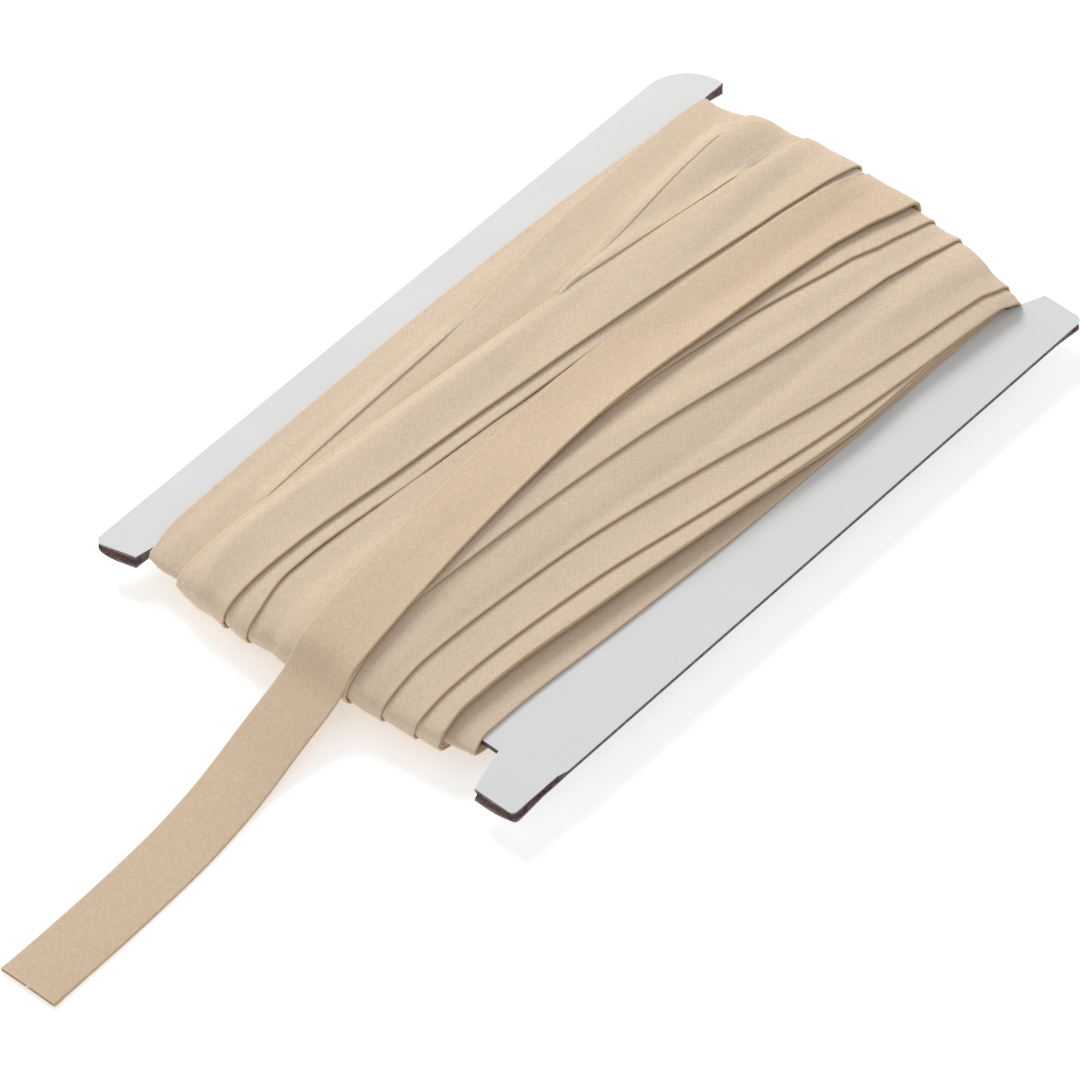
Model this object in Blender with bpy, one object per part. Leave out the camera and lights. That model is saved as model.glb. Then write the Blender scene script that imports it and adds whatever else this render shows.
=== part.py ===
"""Bias binding wound on a folded white card, with one loose end.

The frame: X runs across the card, Y along the winding, from its near end at -Y to its far
end, and Z up. The pack lies on z = 0 with the middle of the card's web over the origin.
Tables and dimensions are in millimetres, and the finished meshes are in metres.
"""

import math
from collections import namedtuple

import bmesh
import bpy
from mathutils import Vector

MM = 0.001
GAP = 0.3                # clearance between two pieces that touch

# The card
CARD_TOP = 6.0           # height of its upper face
CARD_THICK = 1.1         # two leaves pressed together by the winding
WEB_HALF = 68.7          # half length of the web that the binding is wound on
EAR_OUTER = 48.5         # from the middle of the card to its long edges
SWELL_LENGTH = 7.2       # length over which an ear opens towards its end
SWELL_PEAK = 0.62        # where across the ear it stands open the most, from its long edge
SWELL_AT_EDGE = 0.45     # how much of that it stands open at its long edge
EAR_COLUMNS = 5
WEB_COLUMNS = 4
END_ROWS = 7             # rows that follow the rounding of an ear's end
WEB_ROWS = 8

# The binding
TAPE_WIDTH = 12.2        # single fold binding, from one folded edge to the other
SHEET_THICK = 1.0
SHEET_CHAMFER = 0.25
PACK_MIDDLE = 5.4        # height at which the ends of the pack stand out most
BEND_FULLNESS = 2.1      # exponent of the bend at an end, 2 for an ellipse
TOP_HALF = 56.0          # half length of the pack's flat top
BOTTOM_HALF = 54.0       # half length of its flat underside
TOP_STEPS = 9
BEND_STEPS = 9
BOTTOM_STEPS = 6
CREASE_FOOT = 0.6        # plan width of the step beside a folded edge
CREASE_STAND = 0.25      # how far a folded edge stands out round the ends
GROOVE = 0.45            # depth of the groove between two runs on the underside
SIDE_INSET = 0.9         # where the rounding of the left side starts
SIDE_DROP = 0.7
SLOT_LEAD = 6.0          # last stretch of the slot's faces before its two end walls

# An ear of the card: where its ends and its inner edge lie, its corner radii, how far its
# lower leaf stands off the upper one at the open ends, and how much shorter its near end is
# at the inner corner.
Ear = namedtuple("Ear", "side near_tip far_tip inner_web inner_near inner_far near_round far_round swell slant")
EARS = (
    Ear(-1, -79.5, 78.5, 38.6, 40.4, 38.6, 1.4, 9.8, 1.9, 1.9),
    Ear(1, -77.7, 76.2, 36.6, 39.1, 39.6, 1.0, 1.6, 2.1, 0.0),
)

# The long folds along the top of the pack, from left to right: where a fold runs at five
# places along the winding, and the height on its left and on its right side.
Fold = namedtuple("Fold", "name near near_mid middle far_mid far left right")
FOLD_AT = (-64.0, -32.0, 0.0, 32.0, 64.0)
FOLDS = (
    Fold("first_run", -32.4, -32.6, -33.5, -37.2, -35.6, 8.3, 8.7),
    Fold("second_run", -31.4, -29.8, -27.4, -26.3, -28.9, 8.6, 8.9),
    Fold("wide_run_left", -30.4, -28.7, -26.4, -23.0, -19.2, 8.8, 9.4),
    Fold("wide_run_right", -19.3, -17.2, -14.3, -11.6, -6.9, 9.5, 9.0),
    Fold("narrow_run", -16.0, -13.7, -11.5, -9.6, -5.7, 9.1, 8.6),
    Fold("under_loose_run", 2.0, 0.4, 0.4, 4.1, 11.2, 9.1, 8.7),
    Fold("third_run", 6.1, 6.8, 9.6, 14.6, 18.4, 8.9, 8.4),
    Fold("fourth_run", 15.0, 16.8, 21.8, 28.4, 32.2, 8.6, 8.0),
    Fold("fifth_run", 22.4, 24.6, 30.0, 33.2, 34.0, 8.1, 7.6),
    Fold("stacked_run", 26.8, 29.5, 33.2, 34.6, 35.2, 7.6, 6.9),
)
SIDE_LEFT = Fold("left_side", -39.6, -40.3, -40.2, -39.9, -39.0, 7.4, 7.4)
SIDE_RIGHT = Fold("right_side", 33.0, 34.9, 36.2, 36.6, 36.9, 6.8, 6.8)

# Across the pack: how far its two ends reach, how long the bend at an end is, and how high
# the underside lies.
Across = namedtuple("Across", "x near_reach far_reach bend underside")
PACK_ACROSS = (
    Across(-40.0, 75.0, 72.6, 8.0, 3.3),
    Across(-36.0, 76.8, 73.0, 11.0, 1.9),
    Across(-29.0, 77.6, 74.6, 13.0, 0.7),
    Across(-23.0, 78.6, 76.2, 13.0, 0.0),
    Across(-12.0, 78.6, 77.2, 13.0, 0.0),
    Across(-3.0, 77.2, 76.8, 13.0, 0.0),
    Across(8.0, 76.8, 76.6, 13.0, 0.0),
    Across(17.0, 76.4, 76.0, 13.0, 0.0),
    Across(24.0, 75.4, 75.0, 10.0, 0.4),
    Across(29.0, 73.6, 74.0, 7.0, 1.6),
    Across(33.0, 71.6, 72.8, 4.0, 3.0),
    Across(37.0, 70.6, 71.4, 2.6, 4.0),
)
SIDES_AT_ENDS = (-38.2, 36.2)   # the pack's sides where it passes between the ears

# A long line of the pack: where it lies across and how high, how far it stands out round
# the ends, and how deep it lies in the underside.
Line = namedtuple("Line", "x height stand groove")

# The loose run's middle line, from the far end over the pack and out to the free end.
Route = namedtuple("Route", "y x")
LOOSE_ROUTE = (
    Route(78.0, 4.6), Route(64.0, 0.2), Route(32.0, -3.2), Route(0.0, -4.8),
    Route(-32.0, -2.8), Route(-64.0, 0.8), Route(-79.0, 2.3), Route(-92.0, 3.6),
    Route(-106.0, 5.6), Route(-120.0, 7.2), Route(-140.0, 8.1), Route(-156.5, 8.4),
)
LOOSE_BED = 9.2          # height of the pack under the loose run
LOOSE_STAND = 0.8        # how far the loose run's inner face stands off the pack's two ends
TUCK_ANGLE = -32.0       # where the loose run ends, round the far end of the pack
LEAVE_ANGLE = 20.0       # where it leaves the near end of the pack
FALL_PULL = 2.6          # how long it keeps falling before it turns outwards
FLOOR_PULL = (15.0, 0.8)  # how the fall flattens: back along the surface, and height there
FLOOR_MEETS = -107.0     # where the loose end comes to lie on the surface
FREE_END = -156.5
LOOSE_TOP_STEPS = 16
FALL_STEPS = 10
FLOOR_STEPS = 7


def clear_scene():
    for old in list(bpy.data.objects):
        bpy.data.objects.remove(old, do_unlink=True)


def material(name, colour, roughness):
    made = bpy.data.materials.new(name)
    made.use_nodes = True
    shader = made.node_tree.nodes["Principled BSDF"]
    shader.inputs["Base Color"].default_value = (*colour, 1.0)
    shader.inputs["Roughness"].default_value = roughness
    shader.inputs["Metallic"].default_value = 0.0
    return made


def spread(first, last, steps):
    """Evenly spaced values from the first to the last."""
    return [first + (last - first) * i / steps for i in range(steps + 1)]


def between(value, places, values):
    """Read a table at a value, straight between its rows and held beyond its ends."""
    if value <= places[0]:
        return values[0]
    for place, after, low, high in zip(places, places[1:], values, values[1:]):
        if value <= after:
            return low + (high - low) * (value - place) / (after - place)
    return values[-1]


def smooth_between(value, places, values):
    """Read a table on a smooth curve through its rows."""
    last = len(places) - 1
    value = min(max(value, places[0]), places[last])
    row = max(i for i in range(last) if places[i] <= value)
    span = places[row + 1] - places[row]
    share = (value - places[row]) / span

    def slope(i):
        low, high = max(i - 1, 0), min(i + 1, last)
        return (values[high] - values[low]) / (places[high] - places[low]) * span

    start, end = values[row], values[row + 1]
    cubic = 2 * (start - end) + slope(row) + slope(row + 1)
    square = 3 * (end - start) - 2 * slope(row) - slope(row + 1)
    return start + share * (slope(row) + share * (square + share * cubic))


def across(x, column):
    """Read a column of the table across the pack."""
    return between(x, [row.x for row in PACK_ACROSS], [getattr(row, column) for row in PACK_ACROSS])


def finish_object(name, bm, made_of):
    """Turn millimetres into metres and keep the mesh as one object, smooth but for its edges."""
    bmesh.ops.scale(bm, vec=(MM, MM, MM), verts=bm.verts)
    bmesh.ops.recalc_face_normals(bm, faces=bm.faces)
    mesh = bpy.data.meshes.new(name)
    bm.to_mesh(mesh)
    bm.free()
    mesh.materials.append(made_of)
    mesh.shade_smooth()
    mesh.set_sharp_from_angle(angle=math.radians(35))
    made = bpy.data.objects.new(name, mesh)
    bpy.context.scene.collection.objects.link(made)
    return made


def closed_loop(bm, points):
    """A closed ring of edges through the points."""
    corners = [bm.verts.new(point) for point in points]
    return [bm.edges.new((a, b)) for a, b in zip(corners, corners[1:] + corners[:1])]


def skin_rings(bm, rings, closed):
    """Bridge each ring of edges to the next, and the last to the first where it is closed."""
    loops = [closed_loop(bm, ring) for ring in rings]
    followers = loops[1:] + (loops[:1] if closed else [])
    for first, second in zip(loops, followers):
        bmesh.ops.bridge_loops(bm, edges=first + second)
    return loops


def ear_edges(ear, y):
    """The distances of an ear's outer and inner edge from the card's middle line."""
    outer = EAR_OUTER
    for tip, radius in ((ear.near_tip, ear.near_round), (ear.far_tip, ear.far_round)):
        depth = radius - abs(y - tip)
        if depth > 0:
            outer = EAR_OUTER - radius + math.sqrt(max(radius ** 2 - depth ** 2, 0.0))
    inner = ear.inner_web
    if y < -WEB_HALF:
        inner += (ear.inner_near - ear.inner_web) * (y + WEB_HALF) / (ear.near_tip + WEB_HALF)
    if y > WEB_HALF:
        inner += (ear.inner_far - ear.inner_web) * (y - WEB_HALF) / (ear.far_tip - WEB_HALF)
    return max(outer, inner + 1.0), inner


def card_thickness(x, y):
    """The leaves' thickness: an ear opens towards its ends, least at its long outer edge."""
    ear = EARS[0] if x < 0 else EARS[1]
    outer, inner = ear_edges(ear, y)
    if abs(x) < inner - 0.2:
        return CARD_THICK
    from_edge = min((outer - abs(x)) / (outer - inner), 1.0)
    to_tip = min(y - ear.near_tip - ear.slant * from_edge, ear.far_tip - y)
    opening = max(0.0, 1.0 - to_tip / SWELL_LENGTH)
    rise = math.sin(math.pi / 2 * min(from_edge / SWELL_PEAK, 1.0))
    return CARD_THICK + ear.swell * opening * (SWELL_AT_EDGE + (1.0 - SWELL_AT_EDGE) * rise)


def card_row(row, ear):
    """Where a row of the card's grid lies along an ear: close together at its rounded ends."""
    last = 2 * END_ROWS + WEB_ROWS
    if row < END_ROWS:
        share = math.cos(math.radians(90.0 * row / END_ROWS))
        return -WEB_HALF + (ear.near_tip + WEB_HALF) * share
    if row > END_ROWS + WEB_ROWS:
        share = math.cos(math.radians(90.0 * (last - row) / END_ROWS))
        return WEB_HALF + (ear.far_tip - WEB_HALF) * share
    return -WEB_HALF + 2 * WEB_HALF * (row - END_ROWS) / WEB_ROWS


def card_point(column, row):
    """The place of a corner of the card's grid: left ear, web and right ear."""
    last = 2 * EAR_COLUMNS + WEB_COLUMNS
    left, right = EARS
    if EAR_COLUMNS < column < last - EAR_COLUMNS:
        y = card_row(row, left)
        low, high = -ear_edges(left, y)[1], ear_edges(right, y)[1]
        return low + (high - low) * (column - EAR_COLUMNS) / WEB_COLUMNS, y
    ear = left if column <= EAR_COLUMNS else right
    y = card_row(row, ear)
    outer, inner = ear_edges(ear, y)
    share = (column if ear is left else last - column) / EAR_COLUMNS
    beyond_web = max(0.0, -WEB_HALF - y) / (-WEB_HALF - ear.near_tip)
    return ear.side * (outer + (inner - outer) * share), y + ear.slant * share * beyond_web


def make_card():
    """One folded card: a web for the winding between two ears."""
    columns, rows = 2 * EAR_COLUMNS + WEB_COLUMNS, 2 * END_ROWS + WEB_ROWS
    bm = bmesh.new()
    bmesh.ops.create_grid(bm, x_segments=columns, y_segments=rows, size=1.0)
    places = {vert: (round((vert.co.x + 1.0) / 2.0 * columns), round((vert.co.y + 1.0) / 2.0 * rows))
              for vert in bm.verts}
    notches = []
    for face in bm.faces:
        across_face = [places[vert][0] for vert in face.verts]
        along_face = [places[vert][1] for vert in face.verts]
        in_web = min(across_face) >= EAR_COLUMNS and max(across_face) <= columns - EAR_COLUMNS
        beyond_web = max(along_face) <= END_ROWS or min(along_face) >= END_ROWS + WEB_ROWS
        if in_web and beyond_web:
            notches.append(face)
    for vert, (column, row) in places.items():
        vert.co = (*card_point(column, row), CARD_TOP)
    bmesh.ops.delete(bm, geom=notches, context="FACES")
    lower = bmesh.ops.extrude_face_region(bm, geom=bm.faces[:])["geom"]
    for vert in lower:
        if isinstance(vert, bmesh.types.BMVert):
            vert.co.z = CARD_TOP - card_thickness(vert.co.x, vert.co.y)
    return finish_object("card", bm, material("white lined card", (0.72, 0.72, 0.73), 0.55))


def fold_x(fold, y):
    return between(y, FOLD_AT, (fold.near, fold.near_mid, fold.middle, fold.far_mid, fold.far))


def pack_lines(y):
    """The pack's long lines at a place along it, from left to right."""
    left, right = fold_x(SIDE_LEFT, y), fold_x(SIDE_RIGHT, y)
    lines = [Line(left, SIDE_LEFT.left - SIDE_DROP, 0.0, 0.0)]
    lines.append(Line(left + SIDE_INSET, SIDE_LEFT.left, 0.0, 0.0))
    for fold in FOLDS:
        x = fold_x(fold, y)
        stand = math.copysign(CREASE_STAND, fold.left - fold.right)
        lines.append(Line(x, fold.left, stand, 0.0))
        lines.append(Line(x + CREASE_FOOT / 2, (fold.left + fold.right) / 2, 0.0, GROOVE))
        lines.append(Line(x + CREASE_FOOT, fold.right, -stand, 0.0))
    lines.append(Line(right, SIDE_RIGHT.left, 0.0, 0.0))
    return lines


def bend_point(x, angle, near, top, stand, groove=0.0):
    """A point of the bend at an end of the pack, from 90 degrees at the top to -90 below."""
    run = across(x, "bend")
    reach = across(x, "near_reach" if near else "far_reach") + stand
    half = top - PACK_MIDDLE if angle > 0 else PACK_MIDDLE - across(x, "underside") - groove
    power = 2.0 / BEND_FULLNESS
    out = max(math.cos(math.radians(angle)), 0.0) ** power
    rise = math.copysign(abs(math.sin(math.radians(angle))) ** power, angle)
    y = reach - run + run * out
    return (-y if near else y), PACK_MIDDLE + half * rise


def between_ears(x):
    return min(max(x, SIDES_AT_ENDS[0]), SIDES_AT_ENDS[1])


def line_ring(number):
    """The closed ring round the pack that one long line makes, starting at the near top."""
    ring = []
    for y in spread(-TOP_HALF, TOP_HALF, TOP_STEPS):
        line = pack_lines(y)[number]
        ring.append((line.x, y, line.height))
    near, far = pack_lines(FOLD_AT[0])[number], pack_lines(FOLD_AT[-1])[number]
    near_x, far_x = between_ears(near.x), between_ears(far.x)
    down = spread(90.0, -90.0, BEND_STEPS)
    shape = (near.height, near.stand, near.groove)
    ring += [(far_x, *bend_point(far_x, angle, False, *shape)) for angle in down]
    for share in spread(0.0, 1.0, BOTTOM_STEPS):
        x = far_x + (near_x - far_x) * share
        ring.append((x, BOTTOM_HALF * (1.0 - 2.0 * share), across(x, "underside") + near.groove))
    ring += [(near_x, *bend_point(near_x, angle, True, *shape)) for angle in reversed(down)]
    return ring


def slot_ring(ring):
    """The ring of the slot that the card's web lies in, corner for corner with an outer ring."""
    slot_half = WEB_HALF + GAP
    top, low = CARD_TOP + GAP, CARD_TOP - CARD_THICK - GAP
    far_end = [(slot_half - SLOT_LEAD, top)]
    far_end += [(slot_half, z) for z in spread(top, low, BEND_STEPS - 2)]
    far_end += [(slot_half - SLOT_LEAD, low)]
    corners = [(y, top) for y in spread(-TOP_HALF, TOP_HALF, TOP_STEPS)]
    corners += far_end
    corners += [(y, low) for y in spread(BOTTOM_HALF, -BOTTOM_HALF, BOTTOM_STEPS)]
    corners += [(-y, z) for y, z in reversed(far_end)]
    return [(point[0], *corner) for point, corner in zip(ring, corners)]


def make_wound_binding():
    """The wound form: its folded edges on top, round ends, and a flat spot to lie on."""
    rings = [line_ring(number) for number in range(len(pack_lines(0.0)))]
    rings = [slot_ring(rings[0])] + rings + [slot_ring(rings[-1])]
    bm = bmesh.new()
    skin_rings(bm, rings, closed=True)
    return finish_object("wound_binding", bm, material("woven cotton", (0.72, 0.62, 0.48), 0.9))


def route_x(y):
    rows = list(reversed(LOOSE_ROUTE))
    return smooth_between(y, [row.y for row in rows], [row.x for row in rows])


def cubic_point(corners, share):
    """A point on a curve with two end points and two pull points."""
    rest = 1.0 - share
    weights = (rest ** 3, 3 * rest ** 2 * share, 3 * rest * share ** 2, share ** 3)
    return [sum(w * corner[i] for w, corner in zip(weights, corners)) for i in range(2)]


def loose_path():
    """The inner face's middle line: round the far end, over the pack, down and along the surface."""
    bed = LOOSE_BED + GAP
    side = [bend_point(route_x(78.0), a, False, bed, LOOSE_STAND) for a in spread(TUCK_ANGLE, 90.0, 8)]
    side += [(y, bed) for y in spread(TOP_HALF, -TOP_HALF, LOOSE_TOP_STEPS)]
    side += [bend_point(route_x(-70.0), a, True, bed, LOOSE_STAND) for a in spread(90.0, LEAVE_ANGLE, 6)]
    leave, before = Vector(side[-1]), Vector(side[-2])
    pull = leave + (leave - before).normalized() * FALL_PULL
    back, height = FLOOR_PULL
    corners = (leave, pull, (FLOOR_MEETS + back, height), (FLOOR_MEETS, 0.0))
    side += [cubic_point(corners, share) for share in spread(0.0, 1.0, FALL_STEPS)[1:]]
    side += [(y, 0.0) for y in spread(FLOOR_MEETS, FREE_END, FLOOR_STEPS)[1:]]
    return [Vector((route_x(y), y, z)) for y, z in side]


def sheet_section():
    """The sheet's section: across its width, and up from its inner face."""
    half, edge = TAPE_WIDTH / 2, SHEET_CHAMFER
    right = [(half - edge, 0.0), (half, edge), (half, SHEET_THICK - edge), (half - edge, SHEET_THICK)]
    return right + [(-across_width, up) for across_width, up in reversed(right)]


def make_loose_end():
    """The last run of binding, which lies over the others and ends loose."""
    path = loose_path()
    rings = []
    for i, point in enumerate(path):
        along = (path[min(i + 1, len(path) - 1)] - path[max(i - 1, 0)]).normalized()
        wide = (Vector((1, 0, 0)) - along * along.x).normalized()
        up = wide.cross(along) * -1.0
        if point.z < 0.001:
            up = Vector((0, 0, 1))
        rings.append([point + wide * u + up * h for u, h in sheet_section()])
    bm = bmesh.new()
    loops = skin_rings(bm, rings, closed=False)
    for loop in (loops[0], loops[-1]):
        bmesh.ops.contextual_create(bm, geom=loop)
    return finish_object("loose_end", bm, material("woven cotton, last run", (0.74, 0.63, 0.49), 0.9))


clear_scene()
make_card()
make_wound_binding()
make_loose_end()
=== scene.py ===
"""A roll of bias binding on its white card, turn by turn, with its materials and studio.

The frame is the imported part's: X runs across the card, Y along the winding away from the loose
end, and Z up from the surface it lies on. Tables and lengths are in millimetres, and the
finished meshes are in metres.
"""

import logging
import math
from dataclasses import dataclass
from enum import Enum
from typing import Dict, Iterable, List, Optional, Sequence, Tuple, Union

import bmesh
import bpy
import numpy as np
from mathutils import Matrix, Vector, noise


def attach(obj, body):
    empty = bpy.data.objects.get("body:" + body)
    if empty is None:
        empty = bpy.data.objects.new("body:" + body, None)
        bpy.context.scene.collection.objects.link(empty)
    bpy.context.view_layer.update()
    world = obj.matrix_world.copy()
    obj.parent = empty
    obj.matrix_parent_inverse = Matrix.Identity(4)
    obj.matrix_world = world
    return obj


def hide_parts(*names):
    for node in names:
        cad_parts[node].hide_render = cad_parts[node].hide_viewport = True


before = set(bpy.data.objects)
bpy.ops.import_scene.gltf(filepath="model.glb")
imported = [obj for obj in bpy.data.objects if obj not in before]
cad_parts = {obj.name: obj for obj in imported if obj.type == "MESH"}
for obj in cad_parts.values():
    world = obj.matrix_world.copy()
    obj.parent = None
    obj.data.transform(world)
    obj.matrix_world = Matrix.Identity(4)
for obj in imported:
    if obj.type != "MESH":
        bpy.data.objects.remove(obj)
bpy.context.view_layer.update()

logging.basicConfig(level=logging.INFO, format="%(message)s")
LOG = logging.getLogger("roll")

MM = 0.001

# The card
CARD_TOP = 6.0            # height of its upper face
WEB_THICK = 1.1           # both leaves, pressed together by the winding
WEB_HALF = 68.7           # half length of the web that the binding is wound on

# The binding: a strip 24.4 mm wide whose edges are folded in to meet along its middle
FOLDED_WIDTH = 12.2
CLOTH = 0.25              # thickness of the cloth itself
TURN_THICK = 0.5          # the folded strip, as it lies pressed in the winding
THREAD_PITCH = 0.36       # from thread to thread of the cloth
FOLD_SHADE_COLOUR = "B8976C"    # its right folded edge, where the cloth is bent tight and looks deeper
PATTERN = "strip"         # painted shade: a deeper brown on each strip's right folded edge, the side turned away from the key light

# The winding form: the height of the first turn's inner face over and under the web, and half
# the length of the pack's flat top and underside
INNER_TOP = CARD_TOP + 0.05
INNER_LOW = CARD_TOP - WEB_THICK - 0.05
TOP_HALF = 58.0
UNDER_HALF = 56.0

# The form's surface under the turns that show, column by column: the place across, how high
# the inner turns lift it, how far it reaches at the near and the far end, and how long the
# bends there are
FORM_ACROSS = (
    (-41.0, 0.05, 75.1, 72.6, 8.0),
    (-38.0, 0.55, 75.3, 72.0, 9.0),
    (-35.0, 1.0, 76.1, 72.2, 10.5),
    (-31.0, 1.1, 75.7, 73.3, 11.5),
    (-23.0, 1.15, 75.6, 75.5, 12.0),
    (-17.0, 1.5, 76.4, 76.8, 12.0),
    (-12.0, 1.8, 76.6, 77.2, 12.0),
    (-4.0, 2.1, 75.0, 77.0, 12.0),
    (4.0, 1.8, 74.2, 76.0, 12.0),
    (10.0, 1.4, 74.6, 74.9, 12.0),
    (17.0, 1.0, 74.4, 74.4, 11.0),
    (21.0, 0.6, 73.8, 73.8, 10.0),
    (25.0, 0.2, 73.1, 72.2, 8.0),
    (29.0, 0.0, 72.2, 71.0, 6.0),
    (33.0, 0.0, 71.4, 70.0, 4.0),
    (37.0, 0.0, 70.7, 69.4, 3.0),
)


class Placing(Enum):
    """Where a turn lies in the winding, with how many steps across it model it."""

    INNER = 6
    OUTER = 26


class Edge(Enum):
    """An edge of a turn, with the side of it on which the turn's middle line runs."""

    LEFT = 1.0
    RIGHT = -1.0


class Stretch(Enum):
    """The stretches of the path that every turn follows round the card."""

    UNDER = "under"
    FAR = "far"
    TOP = "top"
    NEAR = "near"


@dataclass(frozen=True)
class Turn:
    """One turn of binding, told by where its middle line passes along the top of the pack.

    The tables give a height for each place along the pack, from near to far.

    Attributes:
        name: What the turn is called.
        top: Its middle line across the pack at the five places of TOP_PLACES, from far to near.
        far: The same at the outermost point of the far end.
        near: The same at the outermost point of the near end.
        placing: Whether the turn is one of those that show.
        lift: How far its right edge stands off the turns below.
        lift_left: How far its left edge does.
        off: How far it stands off the turns below over its whole width.
        ease: Radius in millimetres of the bend that the strip makes across its width.
        width: How wide the folded strip lies.
        pressed_by: The turn whose left edge presses this one down, if one does.
        puff: How far this one stands up beside that edge.
    """

    name: str
    top: Tuple[float, float, float, float, float]
    far: float
    near: float
    placing: Placing = Placing.OUTER
    lift: Tuple[Tuple[float, float], ...] = ((0.0, 0.0),)
    lift_left: Tuple[Tuple[float, float], ...] = ((0.0, 0.0),)
    off: Tuple[Tuple[float, float], ...] = ((0.0, 0.0),)
    ease: float = 9.0
    width: float = FOLDED_WIDTH
    pressed_by: str = ""
    puff: Tuple[Tuple[float, float], ...] = ((0.0, 0.0),)


def turn_from(
    edge: Edge, name: str, places: Sequence[float], far: float, near: float, **more: object
) -> Turn:
    """A turn told by one of its edges.

    Args:
        edge: Which edge the places are of.
        name: What the turn is called.
        places: Where the edge passes, at the places of TOP_PLACES.
        far: Where it is at the far end.
        near: Where it is at the near end.
        **more: Further fields of the turn.

    Returns:
        The turn, told by its middle line.
    """
    half = edge.value * more.get("width", FOLDED_WIDTH) / 2
    return Turn(name, tuple(x + half for x in places), far + half, near + half, **more)


TOP_PLACES = (64.0, 32.0, 0.0, -32.0, -64.0)

# The turns that were wound first, layer by layer, told by their near and far places
INNER_LAYERS = (
    ((-33.6, -31.6), (-21.6, -20.6), (-9.8, -9.2), (2.2, 3.0), (14.2, 15.0)),
    ((-29.8, -30.0), (-18.2, -17.6), (-6.4, -5.2), (3.6, 8.0), (5.2, 17.0)),
    ((-14.4, -12.6), (-3.4, -0.6), (3.0, 11.4)),
    ((-7.6, -3.4),),
)


def inner_turns() -> List[Turn]:
    """The turns of INNER_LAYERS, each of which runs straight from its near place to its far one."""
    turns = []
    for number, layer in enumerate(INNER_LAYERS):
        for place, (near, far) in enumerate(layer):
            name = f"inner {number + 1}.{place + 1}"
            line = tuple(
                near + (far - near) * (y + TOP_PLACES[0]) / (2 * TOP_PLACES[0]) for y in TOP_PLACES
            )
            turns.append(Turn(name, line, line[0], line[4], Placing.INNER))
    return turns


RAISED = ((0.0, 0.14),)   # a folded edge that stands off a little all along
STACK_LIFT = ((-66.0, 0.15), (-48.0, 0.5), (-5.0, 0.65), (22.0, 0.3), (40.0, 0.0))
OUTER_TURNS = (
    turn_from(Edge.RIGHT, "right side", (36.3, 36.2, 35.8, 34.3, 32.6), 36.2, 33.9),
    turn_from(Edge.RIGHT, "lowest of the stack", (36.0, 36.0, 32.6, 29.0, 26.4), 36.4, 27.6,
              lift=STACK_LIFT),
    turn_from(Edge.RIGHT, "middle of the stack", (35.8, 36.3, 33.0, 29.3, 26.6), 36.2, 27.8,
              lift=RAISED),
    turn_from(Edge.RIGHT, "top of the stack", (35.6, 36.1, 33.2, 29.5, 26.8), 36.0, 28.0,
              lift=RAISED),
    turn_from(Edge.RIGHT, "fifth", (37.0, 34.3, 30.0, 24.6, 22.4), 38.3, 23.1, ease=3.0,
              lift=((-64.0, 0.14), (30.0, 0.14), (50.0, 0.0))),
    turn_from(Edge.RIGHT, "under fourth", (25.5, 21.0, 15.0, 12.0, 11.0), 27.0, 12.0),
    turn_from(Edge.RIGHT, "fourth", (32.8, 28.4, 21.8, 16.8, 15.0), 34.6, 16.2, width=14.8,
              lift=RAISED),
    turn_from(Edge.RIGHT, "third", (18.4, 14.6, 9.6, 6.8, 5.6), 20.6, 8.9,
              lift=((-20.0, 0.12), (10.0, 0.15), (40.0, 0.3), (66.0, 0.35), (74.0, 0.15))),
    turn_from(Edge.RIGHT, "second", (11.2, 4.1, 0.7, -1.5, -4.0), 14.0, -2.2, lift=RAISED),
    turn_from(Edge.LEFT, "left side", (-38.7, -40.9, -41.6, -41.4, -40.6), -38.3, -38.8,
              pressed_by="second from left",
              puff=((-57.0, 0.0), (-53.0, 0.85), (-30.0, 1.05), (-6.0, 0.9), (10.0, 0.0))),
    turn_from(Edge.LEFT, "second from left", (-38.5, -37.4, -33.6, -32.5, -30.9), -38.1, -30.4,
              pressed_by="third from left",
              puff=((14.0, 0.0), (22.0, 0.75), (67.0, 0.75), (74.0, 0.0))),
    turn_from(Edge.LEFT, "third from left", (-28.8, -26.0, -24.3, -26.4, -28.7), -28.6, -28.4,
              pressed_by="wide",
              puff=((12.0, 0.0), (19.0, 0.9), (40.0, 1.1), (58.0, 1.1), (68.0, 0.0))),
    turn_from(Edge.RIGHT, "narrow", (-5.2, -9.2, -11.5, -13.7, -16.0), -3.2, -13.2, lift=RAISED),
    turn_from(Edge.LEFT, "wide", (-18.8, -23.2, -26.4, -29.1, -31.4), -17.2, -31.2, ease=3.0,
              lift=((-60.0, 0.3), (0.0, 0.3), (66.0, 0.25)),
              lift_left=((24.0, 0.0), (40.0, -0.22), (66.0, -0.25), (74.0, -0.1))),
)
LAST_TURN = Turn(
    "last",
    (0.2, -3.2, -4.8, -2.8, 0.8),
    3.6,
    2.2,
    lift=((-64.0, 0.25), (-45.0, 0.55), (-10.0, 0.9), (40.0, 0.9), (64.0, 0.6), (74.0, 0.3)),
    off=((58.0, 0.0), (70.0, 0.35), (77.0, 0.7)),
    ease=30.0,
)


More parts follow.
